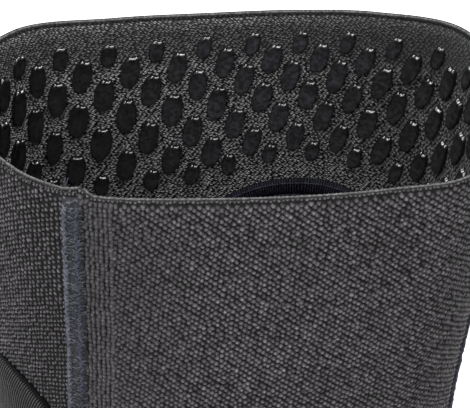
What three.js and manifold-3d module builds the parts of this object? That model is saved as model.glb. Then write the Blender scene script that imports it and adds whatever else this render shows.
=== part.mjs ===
// Elbow guard: a knitted elastic sleeve that stands on its lower rim, open at both ends.
// Two curved panels meet at two raised flatlock seams. Inside the top band are printed silicone
// ovals that grip the arm, and a sewn pad lies inside the back wall. A ribbed oval insert fills a
// window at the left. Millimetres, +Z up, the front faces -Y, the origin is under the middle.
import * as THREE from 'three';
import Module from 'manifold-3d';

// Driving dimensions of the sleeve
const LENGTH = 225;
const WALL = 1.8;
const GAP = 0.3;
const STEPS_AROUND = 50;
const STEPS_DOWN = 12;

// Middle of the guard's box in the sleeve's own plan, moved to the origin
const MIDDLE_X = -0.16;
const MIDDLE_Y = 2.26;

// Plan of the top rim, anticlockwise from the right end, along the outer face
const RIM_PLAN = [
  { x: 52.5, y: 3 },
  { x: 44.4, y: 26 },
  { x: 28, y: 31.6 },
  { x: 12.9, y: 32.4 },
  { x: -6, y: 31.2 },
  { x: -24, y: 29.4 },
  { x: -43.4, y: 25 },
  { x: -53.5, y: 3 },
  { x: -40, y: -20.2 },
  { x: -30.5, y: -26.4 },
  { x: -23.6, y: -29 },
  { x: -6, y: -29.6 },
  { x: 14, y: -28.6 },
  { x: 28, y: -26.6 },
  { x: 41, y: -23.4 },
  { x: 49.5, y: -13.5 },
];

// Sections down the sleeve. round says how far the rim's plan has turned into the foot's ellipse.
const SECTIONS = [
  { below: 0, halfWidth: 53, halfDepth: 30, shiftX: 0, shiftY: 0, round: 0 },
  { below: 30, halfWidth: 50.6, halfDepth: 30.6, shiftX: -1.6, shiftY: -0.3, round: 0.1 },
  { below: 64, halfWidth: 48.1, halfDepth: 31.5, shiftX: -3, shiftY: 0, round: 0.4 },
  { below: 112, halfWidth: 44.6, halfDepth: 32.4, shiftX: -2, shiftY: 3, round: 0.85 },
  { below: 165, halfWidth: 40.5, halfDepth: 30, shiftX: -0.8, shiftY: 1.5, round: 1 },
  { below: LENGTH, halfWidth: 38.4, halfDepth: 29, shiftX: 0, shiftY: 0, round: 1 },
];

// Seams, at fractions of the way round from the right end
const LEFT_SEAM_AT = 0.6425;
const RIGHT_SEAM_AT = 0.965;
const SEAM_WIDTH = 5;
const SEAM_RISE = 0.9;
const SEAM_EDGE_RISE = 0.4;
const SEAM_END_CLEARANCE = 0.6;

// Printed grip ovals, one row of the table for each row of ovals
const DOT_ROWS = [
  { below: 6.4, length: 4.6, width: 3.0 },
  { below: 10.0, length: 6.4, width: 3.7 },
  { below: 14.2, length: 6.8, width: 3.8 },
  { below: 18.9, length: 6.8, width: 3.8 },
  { below: 24.0, length: 6.8, width: 3.8 },
  { below: 29.0, length: 6.4, width: 3.7 },
  { below: 32.7, length: 4.6, width: 3.0 },
];
const DOTS_PER_ROW = 29;
const FIRST_DOT_AT = 0.199;
const DOT_SLANT = 0.16;
const ROW_DIP = 0.2;
const DIPS_PER_TURN = 3;
const DOT_RISE = 0.9;
const DOT_SHOULDER = 0.6;

// Where the stretched knit pulls the print's lower rows upright, and where it draws them down
const UPRIGHT_PULL = { at: 0.296, reach: 0.058, amount: 0.109 };
const DOWN_PULL = { at: 0.262, reach: 0.058, amount: 0.087 };
const FULL_PULL_BELOW = 33;

// Thin print film that carries the ovals, one diamond of it for each
const FILM = 0.4;
const FILM_GAP = 0.5;
const FILM_END_ROW = 3.6;

// Pad sewn inside the back wall
const PAD_AT = 0.189;
const PAD_TOP = 40;
const PAD_HALF_WIDTH = 30;
const PAD_HALF_HEIGHT = 43;
const PAD_SQUARENESS = 2.2;
const PAD_RINGS = [
  { share: 0, thickness: 3.2 },
  { share: 0.5, thickness: 3.1 },
  { share: 0.78, thickness: 2.6 },
  { share: 0.88, thickness: 1.4 },
  { share: 1, thickness: 1.1 },
];

// Ribbed insert and the window that it fills
const INSERT_AT = 0.544;
const INSERT_TOP = 50.2;
const INSERT_HALF_WIDTH = 21.5;
const INSERT_HALF_HEIGHT = 30;
const INSERT_SQUARENESS = 4;
const INSERT_RECESS = 0.4;
const INSERT_THICKNESS = 1.2;
const INSERT_SHARES = [0, 0.35, 0.7, 1];
const WINDOW_CLEARANCE = 0.4;
const CUT_MARGIN = 3;
const PATCH_SPOKES = 32;

// Knitted yarn, seam thread, silicone, pad cloth and ribbed knit
const knit = new THREE.MeshStandardMaterial({ color: '#444244', roughness: 0.95, metalness: 0 });
const seamThread = new THREE.MeshStandardMaterial({ color: '#5d6675', roughness: 0.9, metalness: 0 });
const silicone = new THREE.MeshStandardMaterial({ color: '#141415', roughness: 0.25, metalness: 0 });
const padCloth = new THREE.MeshStandardMaterial({ color: '#15161d', roughness: 0.9, metalness: 0 });
const ribbedKnit = new THREE.MeshStandardMaterial({ color: '#35353a', roughness: 0.9, metalness: 0 });

const wasm = await Module();
wasm.setup();

const rim = SECTIONS[0];
const foot = SECTIONS[SECTIONS.length - 1];
const rimCurve = new THREE.CatmullRomCurve3(
  RIM_PLAN.map(({ x, y }) => new THREE.Vector3(x, y, 0)),
  true,
  'centripetal',
);
const footCurve = new THREE.EllipseCurve(0, 0, foot.halfWidth, foot.halfDepth);
const CURVE_DIVISIONS = 800;
rimCurve.arcLengthDivisions = CURVE_DIVISIONS;
footCurve.arcLengthDivisions = CURVE_DIVISIONS;

// Slope of one column of the section table at row i, for a smooth line through the rows
function slopeAt(i, column) {
  const before = SECTIONS[Math.max(i - 1, 0)];
  const after = SECTIONS[Math.min(i + 1, SECTIONS.length - 1)];
  return (after[column] - before[column]) / (after.below - before.below);
}

// Value of one column of the section table at any height
function sectionValue(below, column) {
  const last = SECTIONS.length - 2;
  const next = SECTIONS.findIndex((row) => row.below > below);
  const i = next < 0 ? last : Math.min(Math.max(next - 1, 0), last);
  const [low, high] = [SECTIONS[i], SECTIONS[i + 1]];
  const span = high.below - low.below;
  const t = THREE.MathUtils.clamp((below - low.below) / span, 0, 1);
  const bend = t * (1 - t) * span;
  const straight = THREE.MathUtils.lerp(low[column], high[column], t * t * (3 - 2 * t));
  return straight + bend * ((1 - t) * slopeAt(i, column) - t * slopeAt(i + 1, column));
}

// Point of the outer face's plan, at a fraction of the way round
function planPoint(at, below) {
  const turn = at - Math.floor(at);
  const onRim = rimCurve.getPointAt(turn);
  const onFoot = footCurve.getPointAt(turn);
  const round = sectionValue(below, 'round');
  const acrossShare = THREE.MathUtils.lerp(onRim.x / rim.halfWidth, onFoot.x / foot.halfWidth, round);
  const deepShare = THREE.MathUtils.lerp(onRim.y / rim.halfDepth, onFoot.y / foot.halfDepth, round);
  return new THREE.Vector2(
    sectionValue(below, 'shiftX') + sectionValue(below, 'halfWidth') * acrossShare,
    sectionValue(below, 'shiftY') + sectionValue(below, 'halfDepth') * deepShare,
  );
}

// Direction round the sleeve and length of one whole turn, from a short step
const SHORT_STEP = 0.004;
function walk(at, below) {
  const step = planPoint(at + SHORT_STEP, below).sub(planPoint(at - SHORT_STEP, below));
  const turnLength = step.length() / (2 * SHORT_STEP);
  return { along: step.normalize(), turnLength };
}

// Share of a whole turn that a short length takes up at one place
function turnShare(length, at, below) {
  return length / walk(at, below).turnLength;
}

// Point of the wall: inset goes from the outer face towards the arm
function wallPoint(at, below, inset) {
  const { along } = walk(at, below);
  const { x, y } = planPoint(at, below);
  return new THREE.Vector3(x - along.y * inset, y + along.x * inset, LENGTH - below);
}

// Mesh geometry from corner points and triangles that share them
function geometryFrom(points, triangles) {
  const geometry = new THREE.BufferGeometry();
  geometry.setAttribute('position', new THREE.Float32BufferAttribute(points.flatMap((p) => p.toArray()), 3));
  geometry.setIndex(triangles.flat());
  return geometry;
}

// Two triangles of a four-sided face
function facePair(a, b, c, d) {
  return [[a, b, c], [a, c, d]];
}

// Closed slab over a grid that runs round and down. pointOf gives its outer and inner faces.
function slab(stepsRound, stepsDown, pointOf) {
  const points = [];
  const triangles = [];
  const rowLength = stepsRound + 1;
  const innerStart = rowLength * (stepsDown + 1);
  for (const inner of [false, true]) {
    for (let j = 0; j <= stepsDown; j += 1) {
      for (let i = 0; i <= stepsRound; i += 1) {
        points.push(pointOf(i / stepsRound, j / stepsDown, inner));
      }
    }
  }
  const outer = (i, j) => j * rowLength + i;
  const inner = (i, j) => innerStart + outer(i, j);
  for (let j = 0; j < stepsDown; j += 1) {
    for (let i = 0; i < stepsRound; i += 1) {
      triangles.push(...facePair(outer(i, j), outer(i, j + 1), outer(i + 1, j + 1), outer(i + 1, j)));
      triangles.push(...facePair(inner(i, j), inner(i + 1, j), inner(i + 1, j + 1), inner(i, j + 1)));
    }
  }
  for (let i = 0; i < stepsRound; i += 1) {
    const end = stepsDown;
    triangles.push(...facePair(outer(i, 0), outer(i + 1, 0), inner(i + 1, 0), inner(i, 0)));
    triangles.push(...facePair(outer(i, end), inner(i, end), inner(i + 1, end), outer(i + 1, end)));
  }
  for (let j = 0; j < stepsDown; j += 1) {
    const end = stepsRound;
    triangles.push(...facePair(outer(0, j), inner(0, j), inner(0, j + 1), outer(0, j + 1)));
    triangles.push(...facePair(outer(end, j), outer(end, j + 1), inner(end, j + 1), inner(end, j)));
  }
  return geometryFrom(points, triangles);
}

// Point of an oval's outline at an angle. A squareness of 2 gives an ellipse.
function ovalPoint(angle, squareness) {
  const pull = (value) => Math.sign(value) * Math.abs(value) ** (2 / squareness);
  return new THREE.Vector2(pull(Math.cos(angle)), pull(Math.sin(angle)));
}

// Closed oval patch that follows the wall. Each ring has a share of the oval and its two insets.
function ovalPatch({ at, below, halfWidth, halfHeight, squareness }, rings) {
  const points = [];
  const triangles = [];
  const ringStarts = [];
  const outline = [];
  rings.forEach(({ share, outer }) => outline.push({ share, inset: outer }));
  [...rings].reverse().forEach(({ share, inner }) => outline.push({ share, inset: inner }));
  for (const { share, inset } of outline) {
    ringStarts.push(points.length);
    const count = share === 0 ? 1 : PATCH_SPOKES;
    for (let k = 0; k < count; k += 1) {
      const place = ovalPoint((2 * Math.PI * k) / PATCH_SPOKES, squareness).multiplyScalar(share);
      const across = turnShare(place.x * halfWidth, at, below);
      points.push(wallPoint(at + across, below + place.y * halfHeight, inset));
    }
  }
  for (let r = 0; r < outline.length - 1; r += 1) {
    const near = (k) => ringStarts[r] + (outline[r].share === 0 ? 0 : k % PATCH_SPOKES);
    const far = (k) => ringStarts[r + 1] + (outline[r + 1].share === 0 ? 0 : k % PATCH_SPOKES);
    for (let k = 0; k < PATCH_SPOKES; k += 1) {
      if (outline[r].share > 0) {
        triangles.push([near(k), near(k + 1), far(k + 1)]);
      }
      if (outline[r + 1].share > 0) {
        triangles.push([near(k), far(k + 1), far(k)]);
      }
    }
  }
  return geometryFrom(points, triangles);
}

// Solid for joining and cutting, from a closed geometry, and back again
function solidFrom(geometry) {
  const vertProperties = geometry.getAttribute('position').array;
  const triVerts = new Uint32Array(geometry.getIndex().array);
  return new wasm.Manifold(new wasm.Mesh({ numProp: 3, vertProperties, triVerts }));
}

function geometryOf(solid) {
  const { vertProperties, triVerts } = solid.getMesh();
  const geometry = new THREE.BufferGeometry();
  geometry.setAttribute('position', new THREE.BufferAttribute(new Float32Array(vertProperties), 3));
  geometry.setIndex(new THREE.BufferAttribute(new Uint32Array(triVerts), 1));
  return geometry;
}

// Knitted panel from one seam to the next, from the top rim to the foot
function panel(fromAt, toAt) {
  const steps = Math.round((toAt - fromAt) * STEPS_AROUND);
  return slab(steps, STEPS_DOWN, (share, down, inner) => {
    const below = down * LENGTH;
    const from = fromAt + turnShare(GAP / 2, fromAt, below);
    const to = toAt - turnShare(GAP / 2, toAt, below);
    return wallPoint(THREE.MathUtils.lerp(from, to, share), below, inner ? WALL : 0);
  });
}

// Raised seam strip on the outside, highest along its middle
const SEAM_STEPS_ACROSS = 4;
function seamStrip(seamAt) {
  return slab(SEAM_STEPS_ACROSS, STEPS_DOWN, (share, down, inner) => {
    const below = THREE.MathUtils.lerp(SEAM_END_CLEARANCE, LENGTH - SEAM_END_CLEARANCE, down);
    const at = seamAt + turnShare((share - 0.5) * SEAM_WIDTH, seamAt, below);
    const rise = THREE.MathUtils.lerp(SEAM_EDGE_RISE, SEAM_RISE, Math.sin(Math.PI * share));
    return wallPoint(at, below, inner ? -GAP : -GAP - rise);
  });
}

// How far one of the print's two pulls acts at a place, growing with the depth
function pullAt(pull, at, below) {
  const away = (THREE.MathUtils.euclideanModulo(at, 1) - pull.at) / pull.reach;
  return pull.amount * Math.exp(-(away ** 2)) * (below / FULL_PULL_BELOW) ** 2;
}

// Place of the print's lattice: odd and even columns alternate from row to row, and the rows dip
function latticePlace(column, row) {
  const last = DOT_ROWS.length - 1;
  const over = row < 0 ? -FILM_END_ROW : row > last ? FILM_END_ROW : 0;
  const rowBelow = DOT_ROWS[THREE.MathUtils.clamp(row, 0, last)].below + over;
  const straightAt = FIRST_DOT_AT + column / (2 * DOTS_PER_ROW);
  const slant = DOT_SLANT - pullAt(UPRIGHT_PULL, straightAt, rowBelow);
  const at = straightAt + turnShare(slant * rowBelow, straightAt, rowBelow);
  const wave = ROW_DIP * Math.sin(DIPS_PER_TURN * Math.PI * (at - FIRST_DOT_AT)) ** 2;
  const dip = 1 + wave + pullAt(DOWN_PULL, straightAt, rowBelow);
  return { at, below: rowBelow * dip, dip };
}

// Grip print of one panel, one closed body: a diamond of film for each oval, and the domed oval on it
const DOT_SIDES = 8;
function gripPrint(fromAt, toAt) {
  const points = [];
  const triangles = [];
  const corners = new Map();
  const sides = new Map();
  const filmBack = WALL + FILM_GAP;
  const filmFace = filmBack + FILM;
  const edge = turnShare(SEAM_WIDTH / 2, fromAt, DOT_ROWS[0].below);
  const addPoint = (at, below, inset) => points.push(wallPoint(at, below, inset)) - 1;

  // Film corner shared by its neighbours, as a pair of points on the film's two faces
  function corner(column, row) {
    const key = `${column},${row}`;
    if (!corners.has(key)) {
      const { at, below } = latticePlace(column, row);
      corners.set(key, { key, face: addPoint(at, below, filmFace), back: addPoint(at, below, filmBack) });
    }
    return corners.get(key);
  }

  function addDot(column, row) {
    const { at, below, dip } = latticePlace(column, row);
    const { length, width } = DOT_ROWS[row];
    const diamond = [[1, 0], [0, 1], [-1, 0], [0, -1]].map(([c, r]) => corner(column + c, row + r));
    const ring = (inset) => Array.from({ length: DOT_SIDES }, (_, k) => {
      const place = ovalPoint((2 * Math.PI * k) / DOT_SIDES, 2);
      const across = turnShare((place.x * width) / 2, at, below);
      return addPoint(at + across, below + (place.y * length * dip) / 2, inset);
    });
    const root = ring(filmFace);
    const shoulder = ring(filmFace + DOT_RISE * DOT_SHOULDER);
    const top = addPoint(at, below, filmFace + DOT_RISE);
    const backMiddle = addPoint(at, below, filmBack);
    const perSide = DOT_SIDES / diamond.length;
    diamond.forEach((near, side) => {
      const next = diamond[(side + 1) % diamond.length];
      const first = side * perSide;
      const middle = first + perSide / 2;
      for (let k = first; k < first + perSide; k += 1) {
        const ahead = (k + 1) % DOT_SIDES;
        triangles.push([(k < middle ? near : next).face, root[ahead], root[k]]);
        triangles.push(...facePair(root[k], root[ahead], shoulder[ahead], shoulder[k]));
        triangles.push([top, shoulder[k], shoulder[ahead]]);
      }
      triangles.push([near.face, next.face, root[middle]]);
      triangles.push([near.back, backMiddle, next.back]);
      sides.set(`${near.key}>${next.key}`, { near, next });
    });
  }

  for (let row = 0; row < DOT_ROWS.length; row += 1) {
    for (let column = row % 2; column < 2 * DOTS_PER_ROW; column += 2) {
      const turns = Math.floor(latticePlace(column, row).at - fromAt);
      const home = column - turns * 2 * DOTS_PER_ROW;
      const reach = [latticePlace(home - 1, row).at, latticePlace(home + 1, row).at];
      if (reach[0] > fromAt + edge && reach[1] < toAt - edge) {
        addDot(home, row);
      }
    }
  }
  for (const { near, next } of sides.values()) {
    if (!sides.has(`${next.key}>${near.key}`)) {
      triangles.push(...facePair(near.face, near.back, next.back, next.face));
    }
  }
  return geometryFrom(points, triangles);
}

// Pad inside the back wall, full in the middle with a thin stitched border
function elbowPad() {
  const face = WALL + GAP;
  const rings = PAD_RINGS.map(({ share, thickness }) => ({ share, outer: face, inner: face + thickness }));
  const oval = {
    at: PAD_AT,
    below: PAD_TOP + PAD_HALF_HEIGHT,
    halfWidth: PAD_HALF_WIDTH,
    halfHeight: PAD_HALF_HEIGHT,
    squareness: PAD_SQUARENESS,
  };
  return ovalPatch(oval, rings);
}

// Outline of the ribbed insert, grown by a clearance for the window that it sits in
function insertPatch(grow, outer, inner) {
  const oval = {
    at: INSERT_AT,
    below: INSERT_TOP + INSERT_HALF_HEIGHT,
    halfWidth: INSERT_HALF_WIDTH + grow,
    halfHeight: INSERT_HALF_HEIGHT + grow,
    squareness: INSERT_SQUARENESS,
  };
  return ovalPatch(oval, INSERT_SHARES.map((share) => ({ share, outer, inner })));
}

function backPanelWithWindow() {
  const cutter = insertPatch(WINDOW_CLEARANCE, -CUT_MARGIN, WALL + CUT_MARGIN);
  const cut = solidFrom(panel(RIGHT_SEAM_AT - 1, LEFT_SEAM_AT)).subtract(solidFrom(cutter));
  return geometryOf(cut);
}

const guard = new THREE.Group();
guard.position.set(-MIDDLE_X, -MIDDLE_Y, 0);
function addPiece(name, geometry, material) {
  const mesh = new THREE.Mesh(geometry, material);
  mesh.name = name;
  guard.add(mesh);
}

addPiece('front_panel', panel(LEFT_SEAM_AT, RIGHT_SEAM_AT), knit);
addPiece('back_panel', backPanelWithWindow(), knit);
addPiece('left_seam', seamStrip(LEFT_SEAM_AT), seamThread);
addPiece('right_seam', seamStrip(RIGHT_SEAM_AT), seamThread);
addPiece('grip_dots_front', gripPrint(LEFT_SEAM_AT, RIGHT_SEAM_AT), silicone);
addPiece('grip_dots_back', gripPrint(RIGHT_SEAM_AT - 1, LEFT_SEAM_AT), silicone);
addPiece('elbow_pad', elbowPad(), padCloth);
addPiece('side_insert', insertPatch(0, INSERT_RECESS, INSERT_RECESS + INSERT_THICKNESS), ribbedKnit);

export default guard;
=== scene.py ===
# Elbow guard: a knitted elastic sleeve with printed grip ovals, standing on its lower rim.
# The pieces follow one another as the guard is sewn: panels, rims, seams, print, pad, insert.
import math

import bpy
import numpy as np
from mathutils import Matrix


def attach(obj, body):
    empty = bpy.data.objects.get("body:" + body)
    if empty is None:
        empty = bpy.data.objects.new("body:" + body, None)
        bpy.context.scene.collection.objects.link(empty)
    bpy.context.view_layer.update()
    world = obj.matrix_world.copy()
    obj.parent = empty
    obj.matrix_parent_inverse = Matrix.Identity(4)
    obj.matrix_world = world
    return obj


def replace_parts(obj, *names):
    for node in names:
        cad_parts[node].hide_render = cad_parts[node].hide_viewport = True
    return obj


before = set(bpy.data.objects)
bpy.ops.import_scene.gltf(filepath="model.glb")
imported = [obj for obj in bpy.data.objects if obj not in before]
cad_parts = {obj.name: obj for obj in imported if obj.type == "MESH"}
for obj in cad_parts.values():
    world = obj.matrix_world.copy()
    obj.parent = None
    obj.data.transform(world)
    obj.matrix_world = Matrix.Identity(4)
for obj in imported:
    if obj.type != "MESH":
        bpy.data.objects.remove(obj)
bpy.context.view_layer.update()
MM = 0.001

# Camera
# A long lens in front of the guard, level from side to side, looks down into its mouth so that
# the front wall, the front rim and the inside of the back wall share the frame.
PICTURE_WIDTH = 470
FOCAL_PIXELS = 2080
SENSOR_WIDTH = 36
CAMERA_PLACE = (0.00016, -0.31776, 0.4481)
CAMERA_PITCH = 38
lens = bpy.data.cameras.new("camera")
lens.sensor_fit = "HORIZONTAL"
lens.sensor_width = SENSOR_WIDTH
lens.lens = SENSOR_WIDTH * FOCAL_PIXELS / PICTURE_WIDTH
lens.clip_start = 10 * MM
camera = bpy.data.objects.new("camera", lens)
camera.location = CAMERA_PLACE
camera.rotation_euler = (math.radians(90 - CAMERA_PITCH), 0, 0)
bpy.context.collection.objects.link(camera)
bpy.context.scene.camera = camera

# Studio
# A white paper floor in even white light, with a large soft lamp to the left above the camera
# and a long strip lamp over the mouth, which puts the white glints on the silicone.
FLOOR_HALF = 2.0
FLOOR_COLOUR = (0.5, 0.5, 0.5, 1)
FLOOR_ROUGHNESS = 0.9
SKY_STRENGTH = 0.65
# Each lamp: its name, its place, the place it faces, its width and depth, and its power
LAMPS = (
    ("front_lamp", (-0.5, -0.85, 1.0), (0, 0, 0.15), (0.6, 0.6), 12),
    ("mouth_lamp", (-0.06, 0.08, 1.05), (-0.06, 0.081, 0.2), (1.3, 0.6), 43),
)
scene = bpy.context.scene
scene.view_settings.view_transform = "Standard"
scene.view_settings.look = "None"
floor_mesh = bpy.data.meshes.new("floor")
floor_corners = [(-1, -1), (1, -1), (1, 1), (-1, 1)]
floor_mesh.from_pydata([(x * FLOOR_HALF, y * FLOOR_HALF, 0) for x, y in floor_corners], [], [(0, 1, 2, 3)])
floor = bpy.data.objects.new("floor", floor_mesh)
floor_paper = bpy.data.materials.new("floor_paper")
floor_paper.use_nodes = True
paper = floor_paper.node_tree.nodes["Principled BSDF"].inputs
paper["Base Color"].default_value = FLOOR_COLOUR
paper["Roughness"].default_value = FLOOR_ROUGHNESS
floor_mesh.materials.append(floor_paper)
bpy.context.collection.objects.link(floor)

sky = bpy.data.worlds.new("sky")
sky.use_nodes = True
glow = sky.node_tree.nodes["Background"].inputs
glow["Color"].default_value = (1, 1, 1, 1)
glow["Strength"].default_value = SKY_STRENGTH
scene.world = sky

for name, place, aim, size, power in LAMPS:
    light = bpy.data.lights.new(name, "AREA")
    light.shape = "RECTANGLE"
    light.size, light.size_y = size
    light.energy = power
    lamp = bpy.data.objects.new(name, light)
    lamp.visible_camera = False
    lamp.location = place
    toward = np.subtract(aim, place)
    flat = math.hypot(toward[0], toward[1])
    lamp.rotation_euler = (math.atan2(flat, -toward[2]), 0, math.atan2(-toward[0], toward[1]))
    bpy.context.collection.objects.link(lamp)

# Sleeve wall
# The knitted tube that both panels are part of: its plan at the rim is a soft rounded box that
# turns into an oval further down. Places on it are a share of the way round and a depth below.
LENGTH = 225 * MM
WALL = 1.8 * MM
SHIFT = np.array([0.16, -2.26]) * MM
RIM_PLAN = MM * np.array([
    (52.5, 3), (44.4, 26), (28, 31.6), (12.9, 32.4), (-6, 31.2), (-24, 29.4), (-43.4, 25), (-53.5, 3),
    (-40, -20.2), (-30.5, -26.4), (-23.6, -29), (-6, -29.6), (14, -28.6), (28, -26.6), (41, -23.4),
    (49.5, -13.5),
])
SECTION_DEPTHS = MM * np.array([0, 30, 64, 112, 165, 225])
# Each row is half width, half depth, shift to the right, shift to the back, and roundness
SECTIONS = np.array([
    (53, 30, 0, 0, 0),
    (50.6, 30.6, -1.6, -0.3, 0.1),
    (48.1, 31.5, -3, 0, 0.4),
    (44.6, 32.4, -2, 3, 0.85),
    (40.5, 30, -0.8, 1.5, 1),
    (38.4, 29, 0, 0, 1),
]) * [MM, MM, MM, MM, 1]
RING_STEPS = 2000
SPAN_STEPS = 200
SHORT_STEP = 0.004
# Shares of a turn to either side of a place, at which lengths along the wall are taken
FINE_TURNS = np.linspace(-0.75, 0.75, 1501)
LEFT_SEAM_AT = 0.6425
RIGHT_SEAM_AT = 0.965
RIM_TURN = 281 * MM
# The curl of the rim beside a seam: its height, the reach of its two slopes, its sharpness, how far
# its peak lies from the seam, and how soon it fades below the rim
LIFT_TOP = 1.5 * MM
LIFT_SLOPES = (4.4 * MM, 1.9 * MM)
LIFT_SHARPNESS = 1.3
LIFT_PEAK = 1.5 * MM
LIFT_FADE = 5 * MM


def unit(vectors):
    """The vectors at a length of one."""
    return vectors / np.linalg.norm(vectors, axis=-1, keepdims=True)


def run_along(line):
    """The length of a line up to each of its places."""
    return np.concatenate([[0], np.cumsum(np.linalg.norm(np.diff(line, axis=0), axis=1))])


def even_ring(line):
    """The closed line as places at even steps of its length, the last one on the first."""
    run = run_along(line)
    steps = np.linspace(0, run[-1], RING_STEPS + 1)
    return np.stack([np.interp(steps, run, line[:, 0]), np.interp(steps, run, line[:, 1])], 1)


def smooth_ring(points):
    """A closed smooth line through the points, with slopes that suit their spacing."""
    before = np.roll(points, 1, 0)
    after = np.roll(points, -1, 0)
    beyond = np.roll(points, -2, 0)
    gap = np.linalg.norm(after - points, axis=1)[:, None] ** 0.5
    gap_before = np.roll(gap, 1, 0)
    gap_after = np.roll(gap, -1, 0)
    leave = (points - before) / gap_before - (after - before) / (gap_before + gap) + (after - points) / gap
    reach = (after - points) / gap - (beyond - points) / (gap + gap_after) + (beyond - after) / gap_after
    t = np.linspace(0, 1, SPAN_STEPS, endpoint=False)[None, :, None]
    rise = t * t * (3 - 2 * t)
    line = points[:, None] * (1 - rise) + after[:, None] * rise
    line = line + t * (1 - t) * ((1 - t) * (leave * gap)[:, None] - t * (reach * gap)[:, None])
    line = line.reshape(-1, 2)
    return np.concatenate([line, line[:1]])


turn = np.linspace(0, 2 * np.pi, RING_STEPS + 1)
rim_share = even_ring(smooth_ring(RIM_PLAN)) / SECTIONS[0, :2]
foot_share = even_ring(np.stack([np.cos(turn), np.sin(turn)], 1) * SECTIONS[-1, :2]) / SECTIONS[-1, :2]
row = np.arange(len(SECTIONS))
row_above = np.maximum(row - 1, 0)
row_below = np.minimum(row + 1, len(SECTIONS) - 1)
section_spans = (SECTION_DEPTHS[row_below] - SECTION_DEPTHS[row_above])[:, None]
section_slopes = (SECTIONS[row_below] - SECTIONS[row_above]) / section_spans


def section_at(below):
    """The section's five values at each depth below the rim."""
    row = np.clip(np.searchsorted(SECTION_DEPTHS, below, side="right") - 1, 0, len(SECTIONS) - 2)
    span = SECTION_DEPTHS[row + 1] - SECTION_DEPTHS[row]
    t = np.clip((below - SECTION_DEPTHS[row]) / span, 0, 1)[..., None]
    rise = t * t * (3 - 2 * t)
    bend = t * (1 - t) * span[..., None] * ((1 - t) * section_slopes[row] - t * section_slopes[row + 1])
    return SECTIONS[row] * (1 - rise) + SECTIONS[row + 1] * rise + bend


def plan(at, below):
    """Places on the outer face's plan, at shares of the way round from the right end."""
    at, below = np.broadcast_arrays(np.asarray(at, float), np.asarray(below, float))
    section = section_at(below)
    step = (at - np.floor(at)) * RING_STEPS
    steps = np.arange(RING_STEPS + 1)
    places = []
    for axis in (0, 1):
        on_rim = np.interp(step, steps, rim_share[:, axis])
        on_foot = np.interp(step, steps, foot_share[:, axis])
        share = on_rim + (on_foot - on_rim) * section[..., 4]
        places.append(section[..., 2 + axis] + section[..., axis] * share)
    return np.stack(places, -1)


def rim_lift(at, below):
    """How far the top rim curls up beside the two seams, where the panels' edges stand."""
    turned = at - np.floor(at)
    from_left = (turned - LEFT_SEAM_AT) * RIM_TURN - LIFT_PEAK
    from_right = (RIGHT_SEAM_AT - turned) * RIM_TURN - LIFT_PEAK
    lift = 0
    for away in (from_left, from_right):
        reach = np.where(away < 0, LIFT_SLOPES[0], LIFT_SLOPES[1])
        near = np.clip(1 - np.abs(away) / reach, 0, 1)
        lift = lift + LIFT_TOP * near ** LIFT_SHARPNESS
    return lift * np.exp(-np.maximum(below, 0) / LIFT_FADE)


def wall(at, below, inset=0.0):
    """Places on the sleeve, inset from its outer face towards the arm."""
    at, below, inset = np.broadcast_arrays(*(np.asarray(x, float) for x in (at, below, inset)))
    along = unit(plan(at + SHORT_STEP, below) - plan(at - SHORT_STEP, below))
    flat = plan(at, below) + np.stack([-along[..., 1], along[..., 0]], -1) * inset[..., None] + SHIFT
    return np.concatenate([flat, (LENGTH - below + rim_lift(at, below))[..., None]], -1)


def wall_directions(at, below):
    """Unit directions round the wall, down it and out of it."""
    at, below = np.broadcast_arrays(np.asarray(at, float), np.asarray(below, float))
    ahead = unit(wall(at + SHORT_STEP / 4, below) - wall(at - SHORT_STEP / 4, below))
    down = wall(at, below + MM) - wall(at, below)
    out = unit(np.cross(down, ahead))
    return ahead, np.cross(ahead, out), out


def level_run(start, below):
    """Fine places along one level of the wall, and their lengths from start."""
    fine = start + FINE_TURNS
    run = run_along(plan(fine, below))
    return fine, run - np.interp(start, fine, run)


def round_from(start, below, lengths):
    """Shares of the way round at these lengths from start, along one level of the wall."""
    fine, run = level_run(start, below)
    return np.interp(lengths, run, fine)


def length_from(start, at, below):
    """Lengths from start to each place, along one level of the wall."""
    fine, run = level_run(start, below)
    return np.interp(at, fine, run)


def turn_share(length, at, below):
    """Share of a whole turn that a short length takes up at each place."""
    step = plan(at + SHORT_STEP, below) - plan(at - SHORT_STEP, below)
    return length * 2 * SHORT_STEP / np.linalg.norm(step, axis=-1)


# Panel sheets
# Two pieces of thick elastic knit, cut as tapered panels and joined edge to edge. Each is a
# closed sheet with a thin turned edge at both rims; its loops stand on it as pieces of their own.
SHEET_TOP = 0.25 * MM
SHEET_STEP = 2.2 * MM
SHEET_MIDDLE = (8 * MM, LENGTH - 7 * MM)
EDGE_REACH = 3 * MM
EDGE_INNER = 1.05 * MM
EDGE_OUTER = 0.4 * MM
EDGE_DEPTHS = MM * np.array([0, 0.4, 0.9, 1.6, 2.5, 4, 6])
PANEL_OVERLAP = 1.5 * MM
PANEL_GAP = 0.3 * MM
BAKE_MARGIN = 0.01
# The order of a face's corners when it is turned over
TURNED_OVER = [0, 3, 2, 1]


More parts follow.
